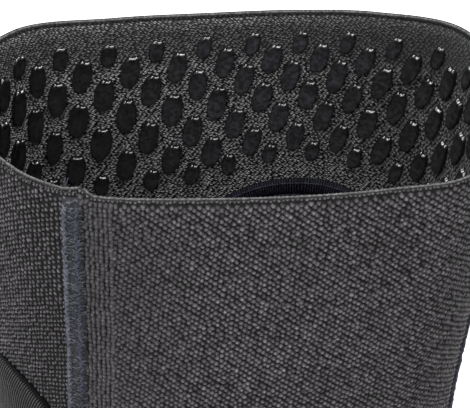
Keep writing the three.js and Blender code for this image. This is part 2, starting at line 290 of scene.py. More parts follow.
class Value:
    """An output in a material's nodes. Sums on it add Math nodes to the same material."""

    def __init__(self, socket):
        self.socket = socket

    def node(self, kind, settings, inputs, output=0):
        """Adds a node with these settings, fills or links its inputs and gives one output."""
        tree = self.socket.id_data
        made = tree.nodes.new(kind)
        for name, setting in settings.items():
            setattr(made, name, setting)
        for name, given in inputs.items():
            if isinstance(given, Value):
                tree.links.new(given.socket, made.inputs[name])
            else:
                made.inputs[name].default_value = given
        return Value(made.outputs[output])

    def math(self, operation, *given):
        return self.node("ShaderNodeMath", {"operation": operation}, dict(enumerate(given)))

    def __add__(self, other):
        return self.math("ADD", self, other)

    def __radd__(self, other):
        return self.math("ADD", other, self)

    def __sub__(self, other):
        return self.math("SUBTRACT", self, other)

    def __rsub__(self, other):
        return self.math("SUBTRACT", other, self)

    def __mul__(self, other):
        return self.math("MULTIPLY", self, other)

    def __rmul__(self, other):
        return self.math("MULTIPLY", other, self)

    def __truediv__(self, other):
        return self.math("DIVIDE", self, other)

    def __pow__(self, other):
        return self.math("POWER", self, other)

    def ramp(self, low, high):
        """0 below low, 1 above high, and smooth between them."""
        settings = {"interpolation_type": "SMOOTHSTEP"}
        inputs = {"Value": self, "From Min": low, "From Max": high}
        return self.node("ShaderNodeMapRange", settings, inputs)

    def tint(self, dark, light):
        """A colour between two, by this value."""
        return self.node("ShaderNodeMix", {"data_type": "RGBA"}, {0: self, 6: dark, 7: light}, 2)

    def shade(self, colour):
        """The colour multiplied by this value."""
        given = colour if isinstance(colour, Value) else colour[:3]
        return self.node("ShaderNodeVectorMath", {"operation": "SCALE"}, {0: given, "Scale": self})

    def place(self):
        """The piece's own coordinates, in metres."""
        return self.node("ShaderNodeTexCoord", {}, {}, "Object")

    def noise(self, scale, detail=2.0):
        """Soft noise over the piece, around a half."""
        inputs = {"Vector": self.place(), "Scale": scale, "Detail": detail}
        return self.node("ShaderNodeTexNoise", {}, inputs, "Fac")

    def attribute(self, name):
        """A number kept on the piece's points."""
        return self.node("ShaderNodeAttribute", {"attribute_name": name}, {}, "Fac")

    def across_and_down(self, name):
        """The two coordinates of a flat map of the piece."""
        flat = self.node("ShaderNodeUVMap", {"uv_map": name}, {}, "UV")
        across = self.node("ShaderNodeSeparateXYZ", {}, {0: flat}, "X")
        return across, self.node("ShaderNodeSeparateXYZ", {}, {0: flat}, "Y")

    def feed(self, name, given):
        """Links a value to an input of this output's own node."""
        self.socket.id_data.links.new(given.socket, self.socket.node.inputs[name])

    def relief(self, height, depth, strength=1.0):
        """Feeds the shader's normal with a relief of this height map."""
        inputs = {"Height": height, "Distance": depth, "Strength": strength}
        self.feed("Normal", self.node("ShaderNodeBump", {}, inputs))


def finish(name, settings):
    """A new material, its shader's plain inputs set, as the shader's output to build on."""
    material = bpy.data.materials.new(name)
    material.use_nodes = True
    shader = material.node_tree.nodes["Principled BSDF"]
    for socket, given in settings.items():
        shader.inputs[socket].default_value = given
    return material, Value(shader.outputs["BSDF"])


def tint_of(red, green, blue):
    """A colour from levels of 0 to 255, as a screen shows it."""
    levels = (red, green, blue)
    linear = [((c / 255 + 0.055) / 1.055) ** 2.4 if c > 10 else c / 3294 for c in levels]
    return (*linear, 1)


def grey(level):
    """A neutral colour from one such level."""
    return tint_of(level, level, level)


def piece(name, points, faces, materials, kinds=None, maps=None, numbers=None):
    """A smooth mesh piece that rides on the guard and takes its finish from a slot."""
    mesh = bpy.data.meshes.new(name)
    mesh.from_pydata(np.asarray(points).reshape(-1, 3).tolist(), [], faces)
    for material in materials:
        mesh.materials.append(material)
    if kinds is not None:
        mesh.polygons.foreach_set("material_index", np.asarray(kinds, np.int32))
    corner = np.empty(len(mesh.loops), np.int32)
    mesh.loops.foreach_get("vertex_index", corner)
    for label, flat in (maps or {}).items():
        layer = mesh.uv_layers.new(name=label)
        layer.uv.foreach_set("vector", np.asarray(flat, np.float32)[corner].ravel())
    for label, given in (numbers or {}).items():
        stored = mesh.attributes.new(label, "FLOAT", "POINT")
        stored.data.foreach_set("value", np.asarray(given, np.float32))
    mesh.polygons.foreach_set("use_smooth", np.ones(len(mesh.polygons), bool))
    mesh.update()
    made = bpy.data.objects.new(name, mesh)
    bpy.context.collection.objects.link(made)
    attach(made, "root")
    return made


def rim_edge(below):
    """1 on both rims, and 0 from a little way in."""
    return np.clip(1 - np.minimum(below, LENGTH - below) / EDGE_REACH, 0, 1) ** 2


def sheet_face(below):
    """How far the sheet's outer face lies inside the wall's: a little more at both rims."""
    return SHEET_TOP + (EDGE_OUTER - SHEET_TOP) * rim_edge(below)


def band_faces(rows, around):
    """Four-sided faces between rows of points, where each row closes on itself."""
    j, k = np.meshgrid(np.arange(rows - 1) * around, np.arange(around), indexing="ij")
    after = (k + 1) % around
    return np.stack([j + k, j + around + k, j + around + after, j + after], -1).reshape(-1, 4)


def panel_sheet(name, from_at, to_at, materials):
    """A closed sheet of the wall between two places, with thin edges at both rims."""
    middle = np.arange(*SHEET_MIDDLE, SHEET_STEP)
    below = np.concatenate([EDGE_DEPTHS, middle, LENGTH - EDGE_DEPTHS[::-1]])
    columns = int((to_at - from_at) * RIM_TURN / SHEET_STEP) + 1
    share = np.linspace(0, 1, columns)[:, None]
    start = from_at + turn_share(PANEL_GAP / 2, from_at, below)
    end = to_at - turn_share(PANEL_GAP / 2, to_at, below)
    at = start + (end - start) * share
    inner = WALL + (EDGE_INNER - WALL) * rim_edge(below)
    loop_at = np.concatenate([at, at[:, ::-1]], 1)
    loop_below = np.concatenate([below, below[::-1]])
    points = wall(loop_at, loop_below, np.concatenate([sheet_face(below), inner[::-1]]))
    rows, ring = len(below), 2 * len(below)
    k = np.arange(ring)
    inside = np.tile((k >= rows) & (k < ring - 1), columns - 1)
    k = np.arange(rows - 1)
    cap = np.stack([k, ring - 1 - k, ring - 2 - k, k + 1], -1)
    last = (columns - 1) * ring + cap[:, ::-1]
    faces = np.concatenate([band_faces(columns, ring)[:, TURNED_OVER], cap, last])
    kinds = np.concatenate([inside.astype(int), np.zeros(2 * len(cap), int)])
    run = np.stack([length_from(from_at, loop_at[:, j], loop_below[j]) for j in range(ring)], 1)
    flat = np.stack([run, loop_below + 0 * run], -1)
    across = BAKE_MARGIN + (1 - 2 * BAKE_MARGIN) * run / run.max()
    down = BAKE_MARGIN / 2 + (0.5 - BAKE_MARGIN) * loop_below / LENGTH + 0.5 * (np.arange(ring) >= rows)
    bake = np.stack([across, down + 0 * run], -1)
    maps = {"wall": flat.reshape(-1, 2), "OFBake": bake.reshape(-1, 2)}
    return piece(name, points, faces.tolist(), materials, kinds, maps)


# The back of the knit shows short slanting floats, in rows; the front shows only dark yarn
# between the loops that stand on it.
FLOAT_LENGTH = 0.82 * MM
FLOAT_WIDTH = 0.37 * MM
FLOAT_SLANT = math.radians(30)
FLOAT_SCATTER = 0.65
FLOAT_EDGE = (0.12, 0.58)
FLOAT_DARK = grey(9)
FLOAT_LIGHT = grey(159)
GAP_DARK = grey(28)
# Painted shadow under the rim's welt on the inner face: darkest above the first depth, gone below the
# second
WELT_SHADOW = (0.35 * MM, 0.65 * MM)
# The floats are dimmer in the top band, and their ground is paler there
TOP_BAND = (6 * MM, 14 * MM)
BAND_DIMMER = 0.66
BAND_GROUND = 0.03
# Painted light and shade on the inner face: it is painted lighter at the left and darker towards the right
# flank
RIGHT_FLANK = (-10 * MM, 52 * MM)
FLANK_LIGHT_AND_SHADE = (1.25, 0.92)

gap_yarn, paint = finish("gap_yarn", {"Roughness": 0.9, "Specular IOR Level": 0.04})
paint.feed("Base Color", (0.5 + paint.noise(900)).shade(GAP_DARK))
paint.relief(paint.noise(2600), 0.15 * MM)

float_knit, paint = finish("float_knit", {"Roughness": 0.85, "Specular IOR Level": 0.08})
across, down = paint.across_and_down("wall")
lengthways = (across * math.cos(FLOAT_SLANT) - down * math.sin(FLOAT_SLANT)) / FLOAT_LENGTH
sideways = (across * math.sin(FLOAT_SLANT) + down * math.cos(FLOAT_SLANT)) / FLOAT_WIDTH
cell = paint.node("ShaderNodeCombineXYZ", {}, {"X": lengthways, "Y": sideways, "Z": 0.0})
inputs = {"Vector": cell, "Scale": 1.0, "Randomness": FLOAT_SCATTER}
settings = {"voronoi_dimensions": "2D", "feature": "F1"}
away = paint.node("ShaderNodeTexVoronoi", settings, inputs, "Distance")
chance = paint.node("ShaderNodeTexVoronoi", settings, inputs, "Color")
chance = paint.node("ShaderNodeSeparateXYZ", {}, {0: chance}, "X")
floats = 1 - away.ramp(*FLOAT_EDGE)
band = 1 - down.ramp(*TOP_BAND)
lit = floats * (0.2 + 0.8 * chance) * (0.75 + 0.5 * paint.noise(350))
# Painted light and shade by place across the wall: lighter at the left, darker towards the right flank
right = paint.node("ShaderNodeSeparateXYZ", {}, {0: paint.place()}, "X")
lit = lit * (FLANK_LIGHT_AND_SHADE[0] - FLANK_LIGHT_AND_SHADE[1] * right.ramp(*RIGHT_FLANK))
lit = lit * (1 - BAND_DIMMER * band) + BAND_GROUND * band
# Painted shadow: the inner face's colour is darkened just under the rim's welt
welt = down.ramp(*WELT_SHADOW)
paint.feed("Base Color", (welt * 0.9 + 0.1).shade(lit.tint(FLOAT_DARK, FLOAT_LIGHT)))
paint.relief(floats, 0.2 * MM)

# Front panel
# The tapered panel between the two seams. Its face is a close pearl knit: small slanting loops
# in staggered columns. Upright ribs beside the left seam turn slowly into them.
seam_turn = PANEL_OVERLAP / RIM_TURN
front_from = LEFT_SEAM_AT + seam_turn
front_to = RIGHT_SEAM_AT - seam_turn
front_panel = panel_sheet("front_panel_sheet", front_from, front_to, [gap_yarn, float_knit])
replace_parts(front_panel, "front_panel")

COLUMN_PITCH = 0.815 * MM
LOOP_REPEAT = 1.21 * MM
FIRST_LOOP_BELOW = 1.3 * MM
LOOP_SLANT = math.radians(-36)
UPRIGHT = -math.pi / 2
LOOP_HALF_LONG = 0.92 * MM
LOOP_HALF_WIDE = 0.86 * MM
LOOP_RISE = 0.38 * MM
LOOP_ROOT = 0.06 * MM
LOOP_SIDES = 5
# How closely the painted light gathers at each knot's top
CORE_SHARPNESS = 2.3
# Each row of knots under a rim: its level, pitch, half height, half width and rise
FRONT_RIM = MM * np.array([(0.25, 0.79, 0.34, 0.5, 0.25)])
BACK_RIM = MM * np.array([(0.3, 0.62, 0.42, 0.5, 0.3), (0.75, 0.815, 0.5, 0.56, 0.36)])
# The ribs beside the left seam: their reach, pitch, the pitch of their knots, and the knots' half sizes
RIB_REACH = 5.2 * MM
RIB_COLUMN = 0.9 * MM
RIB_ROW = 0.93 * MM
RIB_KNOT = (1.1 * MM, 0.74 * MM)
RIB_SOFTNESS = 0.95
# How far the ribs take to turn into the slanting loops
RIB_FADE = 18 * MM
SEAM_COVER = 0.25 * MM
FOOT_GAP = 0.35 * MM
FRONT_LAP = 0.35 * MM
BAKE_SHARE = 0.6
LOOP_BAKE_MARGIN = 2 * MM
RIM_SOFTNESS = 0.4
# How uneven the knots are: in place across and down, size, slant, rise and tone
PLACE_SPREAD = (0.09 * MM, 0.07 * MM)
SIZE_SPREAD = 0.1
SLANT_SPREAD = 0.28
RISE_SPREAD = 0.12
TONE_SPREAD = 0.22
TONE_RANGE = (0.4, 1.8)
# What softness takes from a knot's spread of slant and of tone and from its tone, and gives its foot
SOFT_SLANT = 0.7
SOFT_EVEN = 0.5
SOFT_DIMMING = 0.47
SOFT_FOOT = 0.4
DRIFT = 0.08 * MM
DRIFT_START = 6 * MM
DRIFT_WAVES = 9
DRIFT_LENGTHS = (4 * MM, 14 * MM)
chance_of = np.random.default_rng(11)


def drift(across, below, seed):
    """A slow uneven pull of the knit, as a sideways and a downward move at each place."""
    dice = np.random.default_rng(seed)
    moves = []
    for _ in range(2):
        pulled = 0 * across
        for _ in range(DRIFT_WAVES):
            way = dice.uniform(0, 2 * np.pi)
            size = 2 * np.pi / dice.uniform(*DRIFT_LENGTHS)
            along = np.cos(way) * across + np.sin(way) * below
            pulled = pulled + np.sin(size * along + dice.uniform(0, 7))
        moves.append(DRIFT * pulled / math.sqrt(DRIFT_WAVES))
    return moves


def knot_row(*values):
    """A row of knots: place, depth, half length, half width, slant, rise and softness of each."""
    return np.stack(np.broadcast_arrays(*values), -1)


def rim_knots(start, stop, rim_rows):
    """The rows of knots under each rim. They are flatter than the knit below them."""
    rows = []
    for level, pitch, half_high, half_wide, rise in rim_rows:
        for below in (level, LENGTH - FOOT_GAP - level):
            across = np.arange(SEAM_COVER, length_from(start, stop, below) - SEAM_COVER, pitch)
            at = round_from(start, below, across)
            rows.append(knot_row(at, below, half_high, half_wide, UPRIGHT, rise, RIM_SOFTNESS))
    return np.concatenate(rows)


def loop_pile(name, knots, start, material):
    """Small closed knots of yarn on the wall, each a little uneven in place, size and tone."""
    uneven = chance_of.normal(0, 1, (6, len(knots)))
    at, below, half_long, half_wide, slant, rise, soft = knots.T
    at = at + PLACE_SPREAD[0] * uneven[0] / RIM_TURN
    below = below + PLACE_SPREAD[1] * uneven[1]
    half_long = half_long * (1 + SIZE_SPREAD * uneven[2])
    half_wide = half_wide * (1 + SIZE_SPREAD * uneven[3])
    slant = slant + SLANT_SPREAD * (1 - SOFT_SLANT * soft) * uneven[4]
    rise = rise * (1 + RISE_SPREAD * uneven[2])
    tone = np.clip(1 + TONE_SPREAD * (1 - SOFT_EVEN * soft) * uneven[5], *TONE_RANGE)
    tone = tone * (1 - SOFT_DIMMING * soft)
    ahead, downward, out = wall_directions(at, below)
    middle = wall(at, below, sheet_face(below))
    long_way = ahead * np.cos(slant)[:, None] - downward * np.sin(slant)[:, None]
    wide_way = np.cross(out, long_way) * half_wide[:, None]
    long_way = long_way * half_long[:, None]
    spoke = np.arange(LOOP_SIDES)[:, None] * 2 * np.pi / LOOP_SIDES
    ring = np.cos(spoke) * long_way[:, None] + np.sin(spoke) * wide_way[:, None]
    ring = ring + (middle - LOOP_ROOT * out)[:, None]
    points = np.concatenate([ring, (middle + out * rise[:, None])[:, None]], 1)
    each = LOOP_SIDES + 1
    k = np.arange(LOOP_SIDES)
    sides = np.stack([k, np.roll(k, -1), 0 * k + LOOP_SIDES], -1)
    first = each * np.arange(len(at))
    faces = (sides + first[:, None, None]).reshape(-1, 3).tolist()
    faces += (k[::-1] + first[:, None]).tolist()
    across = np.empty(len(at))
    level = np.round(below / MM)
    order = np.argsort(level, kind="stable")
    for row in np.split(order, np.flatnonzero(np.diff(level[order])) + 1):
        across[row] = length_from(start, at[row], below[row].mean())
    places = np.stack([across - across.min() + LOOP_BAKE_MARGIN, below], -1)
    turned = np.stack([np.cos(slant), -np.sin(slant)], -1) * half_long[:, None]
    aside = np.stack([-np.sin(slant), -np.cos(slant)], -1) * half_wide[:, None]
    flat = np.zeros((len(at), each, 2)) + places[:, None]
    flat[:, :-1] += BAKE_SHARE * (np.cos(spoke) * turned[:, None] + np.sin(spoke) * aside[:, None])
    width = across.max() - across.min() + 2 * LOOP_BAKE_MARGIN
    flat = flat / [width, LENGTH + LOOP_BAKE_MARGIN / 2]
    # The height on each knot's points sets its painted shade at the foot and painted light at the top
    height = np.ones((len(at), each))
    height[:, :-1] = SOFT_FOOT * soft[:, None]
    numbers = {"height": height.ravel(), "tone": np.repeat(tone, each)}
    maps = {"OFBake": flat.reshape(-1, 2)}
    return piece(name, points, faces, [material], maps=maps, numbers=numbers)


# The knots' colour is painted by height: painted shade at each foot, where the knots meet, and painted
# light at each top. A soft knot's foot gets a higher value, so less shade is painted there.
LOOP_FOOT_SHADE = tint_of(27, 26, 27)
LOOP_TOP_LIGHT = tint_of(97, 94, 97)
loop_yarn, paint = finish("loop_yarn", {"Roughness": 0.8, "Specular IOR Level": 0.12})
height = paint.attribute("height")
patch = 0.1 + 1.8 * paint.noise(1900, 1.0)
broad = 0.8 + 0.4 * paint.noise(60, 2.0)
colour = (height ** CORE_SHARPNESS).tint(LOOP_FOOT_SHADE, LOOP_TOP_LIGHT)
paint.feed("Base Color", (patch * broad * paint.attribute("tone")).shade(colour))
paint.relief(paint.noise(5200), 0.1 * MM, 0.6)

knots = [rim_knots(front_from, front_to, FRONT_RIM)]
for j, level in enumerate(np.arange(FIRST_LOOP_BELOW, LENGTH - FIRST_LOOP_BELOW, LOOP_REPEAT / 2)):
    width = length_from(front_from, front_to, level)
    across = np.arange(width + FRONT_LAP, RIB_REACH, -COLUMN_PITCH)
    across = across[(np.arange(len(across)) + j) % 2 == 0]
    pulled, sunk = drift(across, level, 21)
    at = round_from(front_from, level, across + pulled)
    below = level + sunk * np.clip((level - FIRST_LOOP_BELOW) / DRIFT_START, 0, 1)
    ribbed = np.clip(1 - (across - RIB_REACH) / RIB_FADE, 0, 1)
    slant = LOOP_SLANT + (UPRIGHT - LOOP_SLANT) * ribbed
    soft = RIB_SOFTNESS * ribbed
    knots.append(knot_row(at, below, LOOP_HALF_LONG, LOOP_HALF_WIDE, slant, LOOP_RISE, soft))
for level in np.arange(FIRST_LOOP_BELOW, LENGTH - FIRST_LOOP_BELOW, RIB_ROW):
    across = np.arange(0, RIB_REACH + RIB_COLUMN / 2, RIB_COLUMN)
    pulled, sunk = drift(across, level, 23)
    at = round_from(front_from, level, across + pulled)
    knots.append(knot_row(at, level + 2 * sunk, *RIB_KNOT, UPRIGHT, LOOP_RISE, RIB_SOFTNESS))
front_loops = loop_pile("front_panel_loops", np.concatenate(knots), front_from, loop_yarn)

# Back panel
# The wide panel round the left side, the back and the right side. Its knit is stretched sideways
# there, so the loops lie in level rows. A window for the ribbed insert is cut at the left.
back_from = RIGHT_SEAM_AT - 1 - seam_turn
back_to = LEFT_SEAM_AT + seam_turn
back_panel = panel_sheet("back_panel_sheet", back_from, back_to, [gap_yarn, float_knit])
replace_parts(back_panel, "back_panel")

INSERT_AT = 0.544
INSERT_BELOW = 80.2 * MM
INSERT_HALF_WIDTH = 21.5 * MM
INSERT_HALF_HEIGHT = 30 * MM
INSERT_SQUARENESS = 4
WINDOW_CLEARANCE = 0.4 * MM
WINDOW_SIDES = 96
CUT_BEYOND = 3 * MM


def squared(wave, squareness):
    """A wave between -1 and 1 that is drawn to its ends, which makes an oval squarer."""
    return np.sign(wave) * np.abs(wave) ** (2 / squareness)


def oval_place(at, below, angle, half_wide, half_high, squareness):
    """Places on the wall along an oval about one place: its share of the way round and depth."""
    x = squared(np.cos(angle), squareness) * half_wide
    y = squared(np.sin(angle), squareness) * half_high
    return at + x * turn_share(1.0, at, below), below + y


def insert_outline(angle, wider):
    """Places on the wall round the insert, this far outside its outline."""
    half_sizes = (INSERT_HALF_WIDTH + wider, INSERT_HALF_HEIGHT + wider)
    return oval_place(INSERT_AT, INSERT_BELOW, angle, *half_sizes, INSERT_SQUARENESS)


angle = np.linspace(0, 2 * np.pi, WINDOW_SIDES, endpoint=False)
window_at, window_below = insert_outline(angle, WINDOW_CLEARANCE)
cut_depths = np.array([-CUT_BEYOND, WALL + CUT_BEYOND])
cut_outer = wall(window_at, window_below, cut_depths[0])
cut_inner = wall(window_at, window_below, cut_depths[1])
cut_middle = wall(np.full(2, INSERT_AT), np.full(2, INSERT_BELOW), cut_depths)
cut_points = np.concatenate([cut_outer, cut_inner, cut_middle])
n = WINDOW_SIDES
cut_faces = []
for k in range(n):
    after = (k + 1) % n
    cut_faces += [(k, after, n + after, n + k), (2 * n, after, k), (2 * n + 1, n + k, n + after)]
cutter_mesh = bpy.data.meshes.new("window_cutter")
cutter_mesh.from_pydata(cut_points.tolist(), [], cut_faces)
cutter_mesh.materials.append(gap_yarn)
cutter = bpy.data.objects.new("window_cutter", cutter_mesh)
bpy.context.collection.objects.link(cutter)
cut = back_panel.modifiers.new("window", "BOOLEAN")
cut.operation = "DIFFERENCE"
cut.solver = "EXACT"
cut.object = cutter
bpy.context.view_layer.update()
evaluated = back_panel.evaluated_get(bpy.context.evaluated_depsgraph_get())
cut_mesh = bpy.data.meshes.new_from_object(evaluated)
back_panel.modifiers.remove(cut)
back_panel.data = cut_mesh
bpy.data.objects.remove(cutter)

# The knit of the upper band and the closer knit below it: column pitch, half length, half width
BACK_KNITS = MM * np.array([(0.98, 0.72, 0.64), (0.78, 0.62, 0.56)])
BAND_END = 25 * MM
BACK_ROW = 1.08 * MM
BACK_RISE = 0.4 * MM
BACK_SOFTNESS = 0.22
BACK_SPLIT = 0.304
BACK_MIDDLE = 0.25
# How steeply the rows fall away from the left seam as the wall turns back, near the rim and lower
ROW_FALL = (0.95, 0.76)
ROW_FALL_DEPTHS = (15 * MM, 45 * MM)
ROW_FALL_END = 3 * MM
FIRST_ROW = -36 * MM
WINDOW_MARGIN = 1.2 * MM
knots = [rim_knots(back_from, back_to, BACK_RIM)]
for level in np.arange(FIRST_ROW, LENGTH - FIRST_LOOP_BELOW, BACK_ROW):
    at_level = max(level, 0.0)
    width = length_from(back_from, back_to, at_level)
    pitch, half_long, half_wide = BACK_KNITS[int(level > BAND_END)]
    across = np.arange(width - SEAM_COVER, SEAM_COVER, -pitch)
    pulled, sunk = drift(across, level, 22)
    at = round_from(back_from, at_level, across + pulled / 2)
    reach = np.where(at > BACK_MIDDLE, wall(at, at_level)[:, 1], ROW_FALL_END)
    reach = np.minimum(reach, ROW_FALL_END) - wall(LEFT_SEAM_AT, at_level)[1]
    level_out = np.interp(level, ROW_FALL_DEPTHS, (0, 1))
    below = level + sunk / 2 + reach * np.interp(level, ROW_FALL_DEPTHS, ROW_FALL)
    slant = LOOP_SLANT * (1 - level_out)
    row = knot_row(at, below, half_long, half_wide, slant, BACK_RISE, BACK_SOFTNESS)
    knots.append(row[(below > FIRST_LOOP_BELOW) & (below < LENGTH - FIRST_LOOP_BELOW)])
knots = np.concatenate(knots)
insert_turn = turn_share(1.0, INSERT_AT, INSERT_BELOW)
aside = np.abs((knots[:, 0] - INSERT_AT) / insert_turn) / (INSERT_HALF_WIDTH + WINDOW_MARGIN)
above = np.abs(knots[:, 1] - INSERT_BELOW) / (INSERT_HALF_HEIGHT + WINDOW_MARGIN)
knots = knots[aside ** INSERT_SQUARENESS + above ** INSERT_SQUARENESS > 1]
left = knots[:, 0] > BACK_SPLIT
back_loops = [
    loop_pile("back_panel_loops_left", knots[left], back_from, loop_yarn),
    loop_pile("back_panel_loops_right", knots[~left], back_from, loop_yarn),
]

# Rim cords
# At both ends of the sleeve the knit closes in a thin lumpy welt of paler yarn, one length for
# each panel. Round the back its outer lip stands up beside it as a finer, dark cord.
CORD_RADIUS = 0.27 * MM
CORD_INSET = 0.76 * MM
CORD_STAND = 0.1 * MM
CORD_STEP = 0.2 * MM
CORD_LUMP = 0.2
CORD_LUMP_PITCH = 0.79 * MM
CORD_SIDES = 6
CORD_LIGHT = grey(66)
CORD_DARK = grey(39)
LIP_RADIUS = 0.15 * MM
LIP_INSET = 0.36 * MM
LIP_STAND = 0.32 * MM
LIP_REACH = 12 * MM
LIP_DARK = grey(15)


def tubes(paths, over, radius, sides):
    """Closed round threads along many paths at once. over points away from what they lie on."""
    paths = np.asarray(paths, float)
    along = unit(np.gradient(paths, axis=1))
    aside = unit(np.cross(along, over))
    up = np.cross(aside, along)
    turned = np.arange(sides) * 2 * np.pi / sides
    ring = np.cos(turned)[:, None] * aside[:, :, None] + np.sin(turned)[:, None] * up[:, :, None]
    radius = np.broadcast_to(radius, paths.shape[:2])
    points = paths[:, :, None] + radius[:, :, None, None] * ring
    threads, steps = paths.shape[:2]
    quads = band_faces(steps, sides)
    first = np.arange(sides)
    last = (steps - 1) * sides + np.arange(sides)[::-1]
    faces = []
    for t in range(threads):
        base = t * steps * sides
        faces += (quads + base).tolist()
        faces += [(first + base).tolist(), (last + base).tolist()]
    return points.reshape(-1, 3), faces


cord_yarn, paint = finish("cord_yarn", {"Roughness": 0.75, "Specular IOR Level": 0.12})
paint.feed("Base Color", paint.noise(1500, 1.0).ramp(0.3, 0.7).tint(CORD_DARK, CORD_LIGHT))
paint.relief(paint.noise(4200), 0.12 * MM)
for end, level in (("top", -CORD_STAND), ("foot", LENGTH - CORD_RADIUS * (1 + CORD_LUMP))):
    for side, start, stop in (("front", front_from, front_to), ("back", back_from, back_to)):
        width = length_from(start, stop, level)
        run = np.arange(SEAM_COVER, width - SEAM_COVER, CORD_STEP)
        round_at = round_from(start, level, run)
        path = wall(round_at, level, CORD_INSET)
        out = wall_directions(round_at, level)[2]
        lumps = 1 + CORD_LUMP * np.sin(2 * np.pi * run / CORD_LUMP_PITCH + np.sin(run / CORD_LUMP_PITCH))
        points, faces = tubes(path[None], out[None], (CORD_RADIUS * lumps)[None], CORD_SIDES)
        piece(f"{side}_{end}_cord", points, faces, [cord_yarn])

lip_yarn, paint = finish("lip_yarn", {"Roughness": 0.85, "Specular IOR Level": 0.04})
paint.feed("Base Color", (0.4 + 1.2 * paint.noise(1500)).shade(LIP_DARK))
run = np.arange(SEAM_COVER, length_from(back_from, back_to, 0) - SEAM_COVER, 2 * CORD_STEP)
round_at = round_from(back_from, 0, run)
stand = np.clip(wall(round_at, 0)[:, 1] / LIP_REACH, 0, 1)
path = wall(round_at, LIP_RADIUS - LIP_STAND * stand, LIP_INSET)
out = wall_directions(round_at, 0)[2]
points, faces = tubes(path[None], out[None], LIP_RADIUS, CORD_SIDES)
piece("back_rim_lip", points, faces, [lip_yarn])

# Seams
# Flat seams in blue-grey thread lie over both joins: a soft cover of short cross threads, a
# thick pale chain along the back panel's side and a finer, bluer one near the middle.
SEAM_HALF = 2.5 * MM
STRIP_SIDES = (-2.45 * MM, 1.65 * MM)
SEAM_TOP = 1.3 * MM
SEAM_BOTTOM = LENGTH - 0.7 * MM
SEAM_TAPER = 3.2 * MM
STRIP_STEP = 1.2 * MM
STRIP_RISE = 0.42 * MM
STRIP_ROOT = 0.35 * MM
CROSS_COUNT = 1150
CROSS_RADIUS = 0.2 * MM
CROSS_SIDES = 5
CROSS_LENGTH = (0.6, 0.9)
CROSS_EDGE = 0.7 * MM
CROSS_LIFT = 0.05 * MM
CROSS_ENDS = (0.2 * MM, 0.9 * MM)
CROSS_LEAN = 0.22
CROSS_BOW = 0.1 * MM
STRIP_POINTS = 9
# How thick a thread is along its length, as shares of its radius
THREAD_TAPER = np.array([0.35, 0.9, 1.05, 0.9, 0.35])
CHAIN_PITCH = 1.2 * MM
CHAIN_RADIUS = 0.26 * MM
# Each chain: its place across, half width, thickness, pitch and lift over the cover, and finish
CHAINS = ((-1.75, 0.62, 1.1, 0.85, 0.06, 2), (0.75, 0.56, 0.8, 0.75, 0.0, 3))
CHAIN_START = 1.4 * MM
CHAIN_END = 1.6 * MM
CHAIN_CROSSING = 0.8
CHAIN_REACH = 1.35
CHAIN_ARCH = 0.12
# How uneven the links are: across, along, in thickness and in height
CHAIN_SPREAD = (0.12, 0.14 * MM, 0.18, 0.05)
seam_base, paint = finish("seam_base", {"Roughness": 0.9, "Specular IOR Level": 0.05})
paint.feed("Base Color", (0.3 + 1.4 * paint.noise(1100)).shade(tint_of(44, 45, 49)))
paint.relief(paint.noise(2400), 0.25 * MM)


def dyed(name, dark, light):
    """Matt sewing thread that varies along its length between two colours."""
    thread, paint = finish(name, {"Roughness": 0.8, "Specular IOR Level": 0.1})
    mix = 0.6 * paint.noise(1300, 1.0) + 0.4 * paint.noise(260)
    paint.feed("Base Color", mix.ramp(0.32, 0.68).tint(dark, light))
    paint.relief(paint.noise(5000), 0.08 * MM)
    return thread


seam_thread = dyed("seam_thread", tint_of(41, 42, 45), tint_of(68, 69, 74))
chain_thread = dyed("chain_thread", tint_of(51, 53, 59), tint_of(79, 81, 90))
blue_thread = dyed("blue_thread", tint_of(37, 39, 47), tint_of(60, 63, 74))


def seam_places(seam_at, side, aside, below, rise):
    """Places over a seam; aside runs from the back panel's side to the front panel's."""
    at = seam_at + side * turn_share(aside, seam_at, below)
    return wall(at, below, -rise), wall_directions(at, below)[2]


def strip_rise(aside, below):
    """Height of the cover over the wall: rounded across, and sinking under the knit at the top."""
    share = (aside - sum(STRIP_SIDES) / 2) / (STRIP_SIDES[1] - STRIP_SIDES[0]) * 2
    full = np.clip((below - SEAM_TOP) / SEAM_TAPER, 0, 1) ** 0.7
    rounded = np.sqrt(np.clip(1 - np.abs(share) ** 3, 0, 1))
    return STRIP_RISE * rounded * full - 0.7 * STRIP_ROOT * (1 - full)


